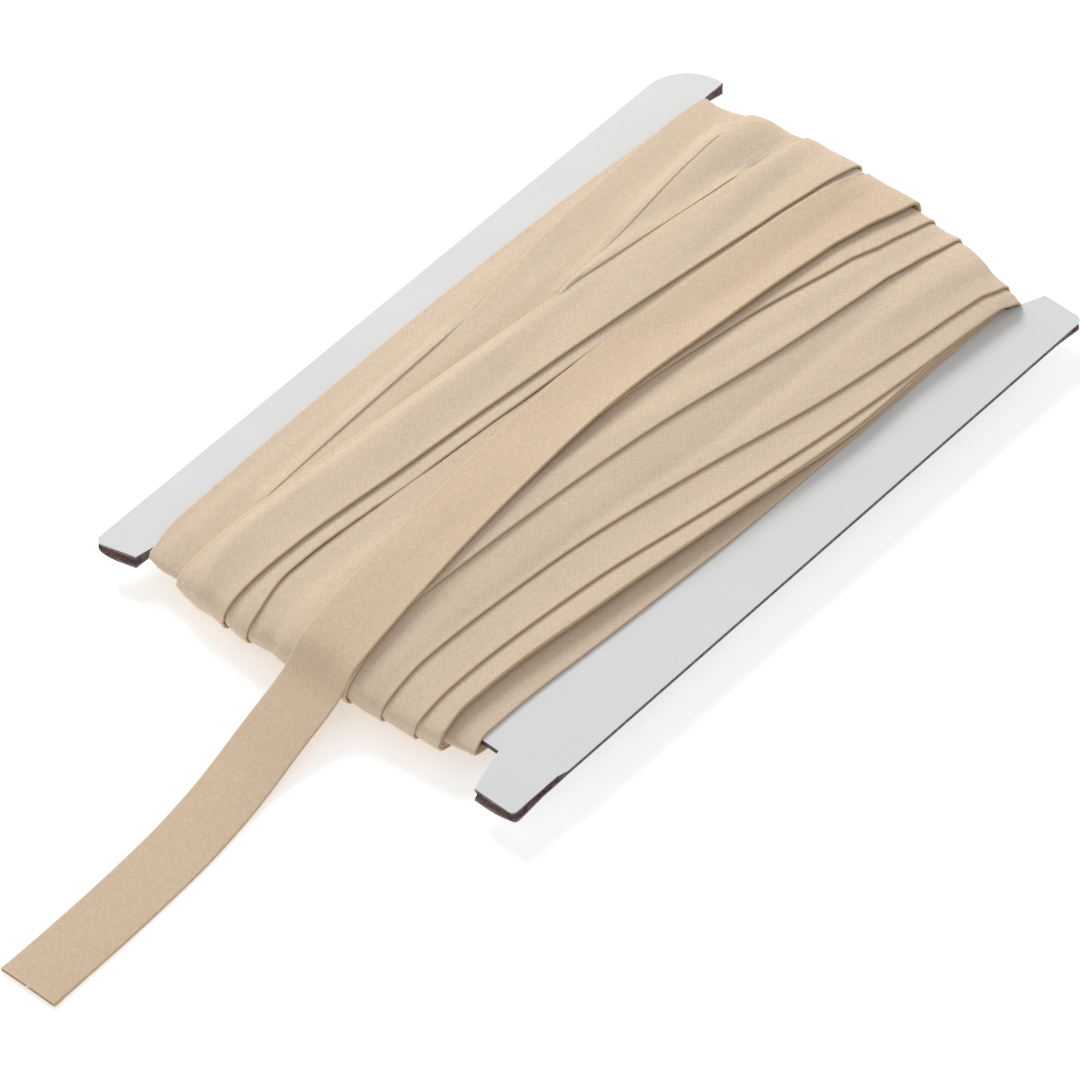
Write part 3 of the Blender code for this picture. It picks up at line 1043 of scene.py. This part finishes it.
class LinedCard:
    """The card: two leaves of lined board pressed together, which open at the four ears' ends."""

    OUTER = 48.5
    EAR_STEPS = 16
    WEB_STEPS = 6
    END_ROWS = 14
    WEB_ROWS = 60
    COLUMNS = 2 * EAR_STEPS + WEB_STEPS
    ROWS = 2 * END_ROWS + WEB_ROWS
    SWELL_LENGTH = 7.2        # how far from an ear's end its leaves start to open
    SWELL_PEAK = 0.62         # the share of its width, from its long edge, where they open fully
    SWELL_AT_EDGE = 0.45      # the share of the opening that shows at the long edge
    THIN_EDGE = 0.95          # both leaves together, squeezed along the long edges
    THIN_WIDTH = 1.6          # how wide that squeezed band is
    TEAR = 0.6                # how far the torn lining has drawn back
    NEAR_OPEN = 3.4           # how far from an ear's near tip its core shows
    FAR_OPEN = 3.0            # and how far from its far tip
    TORN_WIDTH = 1.5          # how far in from the long edge it shows where the lining is torn
    BANDS = (0.0, 0.2, 0.42, 0.62, 0.82, 1.0)       # the cut edge's levels, from the top down
    RECESS = (0.0, 0.05, 0.42, 0.36, 0.05, 0.0)     # how far each is sunk where it is open
    PRESSED_RECESS = 0.12     # the share of that where it is pressed
    RUFFLE = 0.14             # how far the open core is ruffled
    LEVEL = 0.75              # a face that leans less than this is the lining
    SHARP = 50.0

    def ear_edges(self, ear: Ear, y: float) -> Tuple[float, float]:
        """The distances of an ear's outer and inner edge from the card's middle line.

        Args:
            ear: The ear.
            y: The place along the card.

        Returns:
            The outer and the inner distance.
        """
        outer = self.OUTER
        for tip, radius in ((ear.near_tip, ear.near_round), (ear.far_tip, ear.far_round)):
            depth = radius - abs(y - tip)
            if depth > 0:
                outer = self.OUTER - radius + math.sqrt(max(radius ** 2 - depth ** 2, 0.0))
        inner = ear.inner_web
        if y < -WEB_HALF:
            beyond = (y + WEB_HALF) / (ear.near_tip + WEB_HALF)
            inner += (ear.inner_near - ear.inner_web) * beyond
        if y > WEB_HALF:
            beyond = (y - WEB_HALF) / (ear.far_tip - WEB_HALF)
            inner += (ear.inner_far - ear.inner_web) * beyond
        return max(outer, inner + 1.0), inner

    def thickness(self, x: float, y: float) -> float:
        """How thick both leaves are together: squeezed at the long edge, open at the ends.

        Args:
            x: The place across the card.
            y: The place along it.

        Returns:
            The thickness.
        """
        ear = ear_at(x)
        outer, inner = self.ear_edges(ear, y)
        if abs(x) < inner - 0.2:
            return WEB_THICK
        from_edge = min((outer - abs(x)) / (outer - inner), 1.0)
        to_tip = min(y - ear.near_tip - ear.slant * from_edge, ear.far_tip - y)
        opening = max(0.0, 1.0 - to_tip / self.SWELL_LENGTH)
        rise = math.sin(math.pi / 2 * min(from_edge / self.SWELL_PEAK, 1.0))
        squeezed = clamped((outer - abs(x)) / self.THIN_WIDTH)
        torn = clamped((ear.torn_from + 1.0 - y) / 2.0)
        closed = self.THIN_EDGE + (WEB_THICK - self.THIN_EDGE) * max(squeezed, torn, opening)
        open_share = self.SWELL_AT_EDGE + (1.0 - self.SWELL_AT_EDGE) * rise
        return closed + ear.swell * opening * open_share

    def row_place(self, row: int, ear: Ear) -> float:
        """Where a row of the card lies along an ear, close together at its rounded ends.

        Args:
            row: The row, from near to far.
            ear: The ear.

        Returns:
            The place along the card.
        """
        if row < self.END_ROWS:
            share = math.cos(math.radians(90.0 * row / self.END_ROWS))
            return -WEB_HALF + (ear.near_tip + WEB_HALF) * share
        if row > self.END_ROWS + self.WEB_ROWS:
            share = math.cos(math.radians(90.0 * (self.ROWS - row) / self.END_ROWS))
            return WEB_HALF + (ear.far_tip - WEB_HALF) * share
        return -WEB_HALF + 2 * WEB_HALF * (row - self.END_ROWS) / self.WEB_ROWS

    def leaf_point(self, column: int, row: int) -> Tuple[float, float]:
        """The place of a corner of a leaf's grid, which spans left ear, web and right ear.

        Args:
            column: The corner's column, from left to right.
            row: Its row, from near to far.

        Returns:
            The places across and along the card.
        """
        left, right = EARS
        if self.EAR_STEPS < column < self.COLUMNS - self.EAR_STEPS:
            y = self.row_place(row, left)
            low, high = -self.ear_edges(left, y)[1], self.ear_edges(right, y)[1]
            return low + (high - low) * (column - self.EAR_STEPS) / self.WEB_STEPS, y
        ear = left if column <= self.EAR_STEPS else right
        y = self.row_place(row, ear)
        outer, inner = self.ear_edges(ear, y)
        share = (column if ear is left else self.COLUMNS - column) / self.EAR_STEPS
        beyond_web = max(0.0, -WEB_HALF - y) / (-WEB_HALF - ear.near_tip)
        return ear.side * (outer + (inner - outer) * share), y + ear.slant * share * beyond_web

    def _leaf(self, bm: bmesh.types.BMesh, upper: bool) -> List[bmesh.types.BMEdge]:
        """Add one face of the card, with its notches cut.

        Args:
            bm: The mesh to add it to.
            upper: True for the upper face.

        Returns:
            The face's outline.
        """
        verts = bmesh.ops.create_grid(
            bm, x_segments=self.COLUMNS, y_segments=self.ROWS, size=0.5
        )["verts"]
        spots = {
            v: (round((v.co.x + 0.5) * self.COLUMNS), round((v.co.y + 0.5) * self.ROWS))
            for v in verts
        }
        notches = []
        for face in unique(face for vert in verts for face in vert.link_faces):
            across, along = zip(*(spots[vert] for vert in face.verts))
            in_web = min(across) >= self.EAR_STEPS and max(across) <= self.COLUMNS - self.EAR_STEPS
            beyond = max(along) <= self.END_ROWS or min(along) >= self.ROWS - self.END_ROWS
            if in_web and beyond:
                notches.append(face)
        for vert, (column, row) in spots.items():
            x, y = self.leaf_point(column, row)
            low = CARD_TOP - self.thickness(x, y)
            if upper and column == self.COLUMNS:
                x -= self.TEAR * clamped((EARS[1].torn_from - y) / 0.5)
            vert.co = (x, y, CARD_TOP if upper else low)
        bmesh.ops.delete(bm, geom=notches, context="FACES")
        left = [vert for vert in verts if vert.is_valid]
        return unique(edge for vert in left for edge in vert.link_edges if edge.is_boundary)

    def build(self, finishes: Sequence[bpy.types.Material]) -> bpy.types.Object:
        """Model the card.

        Args:
            finishes: A material for each of BoardFace, in their order.

        Returns:
            The card.
        """
        bm = bmesh.new()
        outlines = self._leaf(bm, True) + self._leaf(bm, False)
        walls = bmesh.ops.bridge_loops(bm, edges=outlines)["faces"]
        upright = unique(
            edge for face in walls for edge in face.edges
            if abs(edge.verts[0].co.z - edge.verts[1].co.z) > 0.3
        )
        cuts = len(self.BANDS) - 2
        cut = bmesh.ops.subdivide_edges(bm, edges=upright, cuts=cuts, use_grid_fill=True)
        bm.normal_update()
        for vert in unique(cut["geom_inner"]):
            if isinstance(vert, bmesh.types.BMVert):
                self._roughen(vert)
        for face in bm.faces:
            face.material_index = self._part_of(face).value
        return finished("card_board", bm, finishes, self.SHARP)

    def _is_open(self, x: float, y: float) -> bool:
        """Whether the board's rough core shows at a place of its outline.

        Args:
            x: The place across the card.
            y: The place along it.

        Returns:
            True at an ear's open ends and where its lining is torn.
        """
        ear = ear_at(x)
        at_end = y < ear.near_tip + self.NEAR_OPEN or y > ear.far_tip - self.FAR_OPEN
        torn = x > self.OUTER - self.TORN_WIDTH and y < ear.torn_from
        return abs(x) > ear.inner_web and (at_end or torn)

    def _depth_share(self, place: Vector) -> float:
        """How far down the card's cut edge a place is, 0 at its top and 1 at its foot."""
        return (CARD_TOP - place.z) / max(self.thickness(place.x, place.y), 0.1)

    def _roughen(self, vert: bmesh.types.BMVert) -> None:
        """Sink a point of the board's cut edge, deepest between its leaves, and ruffle it.

        Args:
            vert: The point, whose normal still points out of the edge.
        """
        x, y, z = vert.co
        share = self._depth_share(vert.co)
        levels = len(self.BANDS) - 1
        band = min(range(levels + 1), key=lambda i: abs(i / levels - share))
        outward = Vector((vert.normal.x, vert.normal.y, 0.0))
        if outward.length < 0.01:
            return
        rough = noise.noise(Vector((x * 1.9, y * 1.9, z * 3.1)))
        rough += 0.5 * noise.noise(Vector((x * 5.3, y * 5.3, z * 6.0)))
        depth = self.PRESSED_RECESS * self.RECESS[band]
        if self._is_open(x, y):
            depth = self.RECESS[band] + self.RUFFLE * rough
        vert.co -= outward.normalized() * depth
        vert.co.z = CARD_TOP - self.thickness(x, y) * self.BANDS[band]

    def _part_of(self, face: bmesh.types.BMFace) -> BoardFace:
        """Which part of the card's surface a face belongs to.

        Args:
            face: The face.

        Returns:
            The part.
        """
        middle = face.calc_center_median()
        if abs(face.normal.z) > self.LEVEL:
            return BoardFace.LINING
        if not self._is_open(middle.x, middle.y):
            return BoardFace.PRESSED_EDGE
        in_core = self.BANDS[1] < self._depth_share(middle) < self.BANDS[4]
        return BoardFace.OPEN_CORE if in_core else BoardFace.OPEN_RIM


def linear(colour: str) -> Tuple[float, float, float, float]:
    """A colour as it is seen, such as DDCCBB, as linear red, green, blue and one.

    Args:
        colour: Six hexadecimal digits.

    Returns:
        The four numbers that a colour socket takes.
    """
    parts = [int(colour[i:i + 2], 16) / 255 for i in (0, 2, 4)]
    linear_parts = (c / 12.92 if c <= 0.04045 else ((c + 0.055) / 1.055) ** 2.4 for c in parts)
    return tuple(linear_parts) + (1.0,)


# Settings of the nodes that work on numbers, vectors and colours
TIMES = {"operation": "MULTIPLY"}
PLUS = {"operation": "ADD"}
MINUS = {"operation": "SUBTRACT"}
TIMES_PLUS = {"operation": "MULTIPLY_ADD"}
COSINE = {"operation": "COSINE"}
SCALED = {"operation": "SCALE"}
COLOURS = {"data_type": "RGBA"}
MIXED = 2                 # the mix node's output that is a colour


class Finish:
    """A material, built one node at a time."""

    def __init__(self, name: str) -> None:
        """Make an empty material.

        Args:
            name: What the material really is.
        """
        self.material = bpy.data.materials.new(name)
        self.material.use_nodes = True
        self.material.node_tree.nodes.clear()

    def node(
        self, kind: str, settings: Dict[str, str], sockets: Dict[Union[int, str], object]
    ) -> bpy.types.Node:
        """Add a node with its settings and its sockets' values or links.

        Args:
            kind: The node's type, without the ShaderNode that each starts with.
            settings: Settings of the node itself.
            sockets: For each input's name or number, a value, a socket that is linked, or a
                node whose first output is.

        Returns:
            The node.
        """
        tree = self.material.node_tree
        made = tree.nodes.new("ShaderNode" + kind)
        for key, value in settings.items():
            setattr(made, key, value)
        for key, value in sockets.items():
            if isinstance(value, bpy.types.Node):
                value = value.outputs[0]
            if isinstance(value, bpy.types.NodeSocket):
                tree.links.new(value, made.inputs[key])
            else:
                made.inputs[key].default_value = value
        return made


@dataclass(frozen=True)
class WovenCotton:
    """Plain woven cotton cut on the bias, so that its threads run at 45 degrees to the strip.

    The threads stand in low rounds, warp over weft and weft over warp in turn. Their own
    unevenness gives the cloth its matt, slightly streaky look.

    Attributes:
        name: What it really is.
        lit: The cloth's colour on its threads.
        deep: Its colour between them.
    """

    name: str
    lit: str
    deep: str

    WOBBLE = 0.5              # how far the threads wander, in millimetres
    SLUBS = (4.6, 0.8)        # thick places by the millimetre, across and along the threads
    SPECKLE = 4.6             # specks by the millimetre, coarser than real fibres so that they show
    CLOUDS = 0.06             # faint clouds of dye by the millimetre, about 17 mm wide
    TONE = (0.52, 1.23)       # the pattern's sum that gives the deep colour and the lit one
    FOLD_SHADE_FROM = (5.88, 6.15)  # how far across the painted shade of the right folded edge comes in
    FOLD_SHADE_TO = (6.5, 6.7)      # and goes out again
    FOLD_SHADE_SHARE = 0.5
    RELIEF = 0.00006          # how high the threads stand, in metres

    def _thread_heights(self, made: Finish, laid: bpy.types.Node) -> bpy.types.Node:
        """Add the weave's height, from 0 between the threads to 1 on top of them.

        Args:
            made: The material.
            laid: Places on the cloth, along its threads.

        Returns:
            The node that gives the height.
        """
        axes = made.node("SeparateXYZ", {}, {0: laid})
        waves = []
        for axis in (0, 1):
            phase = made.node("Math", TIMES, {0: axes.outputs[axis], 1: math.pi / THREAD_PITCH})
            waves.append(made.node("Math", COSINE, {0: phase}))
        product = made.node("Math", TIMES, {0: waves[0], 1: waves[1]})
        warp_over = made.node("Math", TIMES_PLUS, {0: product, 1: 0.5, 2: 0.5})
        weft_over = made.node("Math", MINUS, {0: 1.0, 1: warp_over})
        threads = []
        for wave, over in zip(waves, (warp_over, weft_over)):
            rounded = made.node("Math", TIMES, {0: wave, 1: wave})
            threads.append(made.node("Math", TIMES, {0: rounded, 1: over}))
        return made.node("Math", PLUS, {0: threads[0], 1: threads[1]})

    def build(self) -> bpy.types.Material:
        """Make the material."""
        made = Finish(self.name)
        strip = made.node("UVMap", {"uv_map": PATTERN}, {})
        bias = (0.0, 0.0, math.radians(45.0))
        turned = made.node("Mapping", {}, {"Vector": strip, "Rotation": bias})
        noise_at = {"Vector": turned, "Scale": 0.35, "Detail": 2.0}
        wobble = made.node("TexNoise", {}, noise_at).outputs["Color"]
        shift = made.node("VectorMath", SCALED, {0: wobble, "Scale": self.WOBBLE})
        laid = made.node("VectorMath", PLUS, {0: turned, 1: shift})
        weave = self._thread_heights(made, laid)
        slubs = []
        for stretch in (self.SLUBS, self.SLUBS[::-1]):
            drawn = made.node("VectorMath", TIMES, {0: laid, 1: stretch + (1.0,)})
            noise_at = {"Vector": drawn, "Scale": 1.0, "Detail": 2.0, "Roughness": 0.6}
            slubs.append(made.node("Math", TIMES, {0: made.node("TexNoise", {}, noise_at), 1: 0.5}))
        grain = made.node("Math", PLUS, {0: slubs[0], 1: slubs[1]})
        noise_at = {"Vector": laid, "Scale": self.SPECKLE, "Detail": 3.0, "Roughness": 0.7}
        speckle = made.node("TexNoise", {}, noise_at)
        noise_at = {"Vector": strip, "Scale": self.CLOUDS, "Detail": 2.0}
        clouds = made.node("TexNoise", {}, noise_at)

        woven = made.node("Math", PLUS, {0: made.node("Math", TIMES, {0: weave, 1: 0.45}), 1: grain})
        specks = made.node("Math", TIMES, {0: speckle, 1: 0.30})
        tone = made.node("Math", PLUS, {0: woven, 1: specks})
        share = made.node("MapRange", {}, {0: tone, 1: self.TONE[0], 2: self.TONE[1]})
        ends = {0: share, 6: linear(self.deep), 7: linear(self.lit)}
        colour = made.node("Mix", COLOURS, ends).outputs[MIXED]
        across = made.node("SeparateXYZ", {}, {0: strip})
        # Painted shade: each strip's right folded edge is mixed towards a deeper brown, which stands
        # in for the shade on the side away from the key light
        low, high = self.FOLD_SHADE_FROM
        fold_shade_on = made.node("MapRange", {}, {0: across, 1: low, 2: high, 3: 0.0, 4: self.FOLD_SHADE_SHARE})
        low, high = self.FOLD_SHADE_TO
        fold_shade_off = made.node("MapRange", {}, {0: across, 1: low, 2: high, 3: 1.0, 4: 0.0})
        fold_shade = made.node("Math", TIMES, {0: fold_shade_on, 1: fold_shade_off})
        ends = {0: fold_shade, 6: colour, 7: linear(FOLD_SHADE_COLOUR)}
        colour = made.node("Mix", COLOURS, ends).outputs[MIXED]
        cloudy = made.node("MapRange", {}, {0: clouds, 1: 0.3, 2: 0.7, 3: 0.985, 4: 1.015})
        shade = made.node("VectorMath", SCALED, {0: colour, "Scale": cloudy})
        threads = made.node("Math", TIMES, {0: weave, 1: 0.6})
        uneven = made.node("Math", TIMES, {0: grain, 1: 0.5})
        height = made.node("Math", PLUS, {0: threads, 1: uneven})
        relief = {"Height": height, "Strength": 0.5, "Distance": self.RELIEF}
        cloth = made.node("BsdfPrincipled", {}, {
            "Base Color": shade,
            "Roughness": 0.92,
            "Normal": made.node("Bump", {}, relief),
            "Specular IOR Level": 0.1,
            "Sheen Weight": 0.05,
            "Sheen Roughness": 0.6,
            "Sheen Tint": linear("F1DFC6"),
            "Subsurface Weight": 0.15,
            "Subsurface Radius": (1.0, 0.7, 0.5),
            "Subsurface Scale": 0.0008,
        })
        made.node("OutputMaterial", {}, {"Surface": cloth})
        return made.material


COTTON = WovenCotton("beige woven cotton on the bias", "E4D2BE", "C1AB92")
LAST_COTTON = WovenCotton("beige woven cotton, last turn", "E3CEB7", "C1A88D")


@dataclass(frozen=True)
class BoardFinish:
    """A finish of the card's board: its paper lining or its bare pulp.

    Attributes:
        name: What it really is.
        dark: Its colour in the hollows between the fibres.
        light: Its colour on them.
        relief: How deep the fibres stand, in metres.
    """

    name: str
    dark: str
    light: str
    relief: float

    LAYERS = (700.0, 700.0, 3600.0)     # pulp 1.4 mm long in layers 0.28 mm thick, by the metre

    def build(self) -> bpy.types.Material:
        """Make the material."""
        made = Finish(self.name)
        place = made.node("TexCoord", {}, {}).outputs["Object"]
        colour, bump, surface = self._surface(made, place)
        board = made.node("BsdfPrincipled", {}, {"Base Color": colour, "Normal": bump, **surface})
        made.node("OutputMaterial", {}, {"Surface": board})
        return made.material

    def _surface(
        self, made: Finish, place: bpy.types.NodeSocket
    ) -> Tuple[bpy.types.NodeSocket, bpy.types.Node, Dict[str, float]]:
        """Add the colour and relief of pressed pulp in thin level layers, dark and matt.

        Args:
            made: The material.
            place: Places on the card.

        Returns:
            The colour, the relief, and the shader's numbers.
        """
        layers = made.node("VectorMath", TIMES, {0: place, 1: self.LAYERS})
        noise_at = {"Vector": layers, "Scale": 1.0, "Detail": 4.0, "Roughness": 0.7}
        pulp = made.node("TexNoise", {}, noise_at)
        share = made.node("MapRange", {}, {0: pulp, 1: 0.34, 2: 0.66})
        ends = {0: share, 6: linear(self.dark), 7: linear(self.light)}
        colour = made.node("Mix", COLOURS, ends).outputs[MIXED]
        relief = {"Height": pulp, "Strength": 0.8, "Distance": self.relief}
        numbers = {"Roughness": 0.95, "Specular IOR Level": 0.1}
        return colour, made.node("Bump", {}, relief), numbers


class Lining(BoardFinish):
    """The board's smooth white paper, a little grey, with the faint clouding of paper."""

    CLOUDS = 60.0             # clouds about 17 mm wide, by the metre
    FIBRES = 1400.0           # fibres about 0.7 mm long, drawn coarser than real ones to show

    def _surface(
        self, made: Finish, place: bpy.types.NodeSocket
    ) -> Tuple[bpy.types.NodeSocket, bpy.types.Node, Dict[str, float]]:
        """Add the colour and relief of smooth paper.

        Args:
            made: The material.
            place: Places on the card.

        Returns:
            The colour, the relief, and the shader's numbers.
        """
        clouds = made.node("TexNoise", {}, {"Vector": place, "Scale": self.CLOUDS, "Detail": 4.0})
        fibres = made.node("TexNoise", {}, {"Vector": place, "Scale": self.FIBRES, "Detail": 2.0})
        soft = made.node("Math", TIMES, {0: clouds, 1: 0.6})
        fine = made.node("Math", TIMES, {0: fibres, 1: 0.4})
        share = made.node("Math", PLUS, {0: soft, 1: fine})
        ends = {0: share, 6: linear(self.dark), 7: linear(self.light)}
        colour = made.node("Mix", COLOURS, ends).outputs[MIXED]
        relief = {"Height": fibres, "Strength": 0.12, "Distance": self.relief}
        numbers = {"Roughness": 0.62, "Specular IOR Level": 0.3}
        return colour, made.node("Bump", {}, relief), numbers


BOARD_FINISHES = {
    BoardFace.LINING: Lining("white paper lining of the board", "D2D3D4", "DDDEDF", 0.00003),
    BoardFace.PRESSED_EDGE: BoardFinish(
        "pressed grey edge of the board", "444446", "7E7E80", 0.00008),
    BoardFace.OPEN_RIM: BoardFinish(
        "purple grey rim of the open board", "5E5358", "94888D", 0.00012),
    BoardFace.OPEN_CORE: BoardFinish(
        "red brown pulp core of the board", "3A2C2B", "7A6360", 0.00030),
}


@dataclass(frozen=True)
class Lamp:
    """A soft round studio light.

    Attributes:
        name: What it is called.
        place: Where it is, in metres.
        target: Where it points.
        size: How wide it is, in metres.
        power: Its power, in watts.
        colour: Its colour.
    """

    name: str
    place: Tuple[float, float, float]
    target: Tuple[float, float, float]
    size: float
    power: float
    colour: str


class Studio:
    """The pale surface, the soft lights and the camera at the photo's angle."""

    CAMERA_PLACE = (0.66106, -0.76723, 1.12851)
    AZIMUTH = 41.36
    ELEVATION = 48.73
    LENS = 283.8
    SENSOR = 36.0
    CLIP_END = 50.0
    FLOOR_HALF = 4000.0       # half the surface's width, in millimetres
    WHITE = "FFFFFF"
    GLOW = 0.30               # the surface's own light, as the photo's ground is pure white
    AIR = 0.62                # the light from all around
    LAMPS = (
        Lamp("key", (-0.80, 0.40, 0.62), (-0.02, 0.0, 0.0), 0.50, 8.1, "FFFEFB"),
        Lamp("near fill", (0.20, -1.00, 0.70), (0.0, -0.02, 0.0), 0.60, 0.8, "FFFCF6"),
    )

    def build(self) -> None:
        """Make the surface, the lights and the camera."""
        white = linear(self.WHITE)
        made = Finish("plain white studio surface")
        glow = {"Emission Color": white, "Emission Strength": self.GLOW}
        shader = made.node("BsdfPrincipled", {}, {"Base Color": white, "Roughness": 0.9, **glow})
        made.node("OutputMaterial", {}, {"Surface": shader})
        bm = bmesh.new()
        bmesh.ops.create_grid(bm, x_segments=1, y_segments=1, size=self.FLOOR_HALF)
        floor = finished("studio_surface", bm, [made.material], 60.0)
        for lamp in self.LAMPS:
            self._light(lamp)
        world = bpy.data.worlds.new("studio air")
        world.use_nodes = True
        background = world.node_tree.nodes["Background"]
        background.inputs["Color"].default_value = white
        background.inputs["Strength"].default_value = self.AIR
        bpy.context.scene.world = world
        self._camera()
        bpy.context.scene.view_settings.view_transform = "Standard"

    def _light(self, lamp: Lamp) -> None:
        """Make one soft light.

        Args:
            lamp: The light.
        """
        data = bpy.data.lights.new(lamp.name, "AREA")
        data.shape = "DISK"
        data.size = lamp.size
        data.energy = lamp.power
        data.color = linear(lamp.colour)[:3]
        made = bpy.data.objects.new(lamp.name, data)
        made.location = lamp.place
        aim = Vector(lamp.target) - Vector(lamp.place)
        made.rotation_euler = aim.to_track_quat("-Z", "Y").to_euler()
        bpy.context.scene.collection.objects.link(made)

    def _camera(self) -> None:
        """Set the camera as the photo's was found to stand."""
        azimuth, elevation = math.radians(self.AZIMUTH), math.radians(self.ELEVATION)
        back = Vector((
            math.sin(azimuth) * math.cos(elevation),
            -math.cos(azimuth) * math.cos(elevation),
            math.sin(elevation),
        ))
        right = Vector((math.cos(azimuth), math.sin(azimuth), 0.0))
        data = bpy.data.cameras.new("photo_camera")
        data.lens = self.LENS
        data.sensor_width = self.SENSOR
        data.clip_end = self.CLIP_END
        made = bpy.data.objects.new("photo_camera", data)
        turned = Matrix((right, back.cross(right), back)).transposed().to_4x4()
        made.matrix_world = Matrix.Translation(Vector(self.CAMERA_PLACE)) @ turned
        bpy.context.scene.collection.objects.link(made)
        bpy.context.scene.camera = made


def main() -> None:
    """Build the roll and the studio."""
    winding = WoundBinding(WindingForm())
    wound = winding.build(COTTON.build())
    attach(wound, "root")
    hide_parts("wound_binding")

    loose = LooseEnd(winding)
    strip = loose.build(LAST_COTTON.build())
    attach(strip, "root")
    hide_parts("loose_end")

    card = LinedCard().build([BOARD_FINISHES[part].build() for part in BoardFace])
    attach(card, "root")
    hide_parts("card")

    Studio().build()


if __name__ == "__main__":
    main()
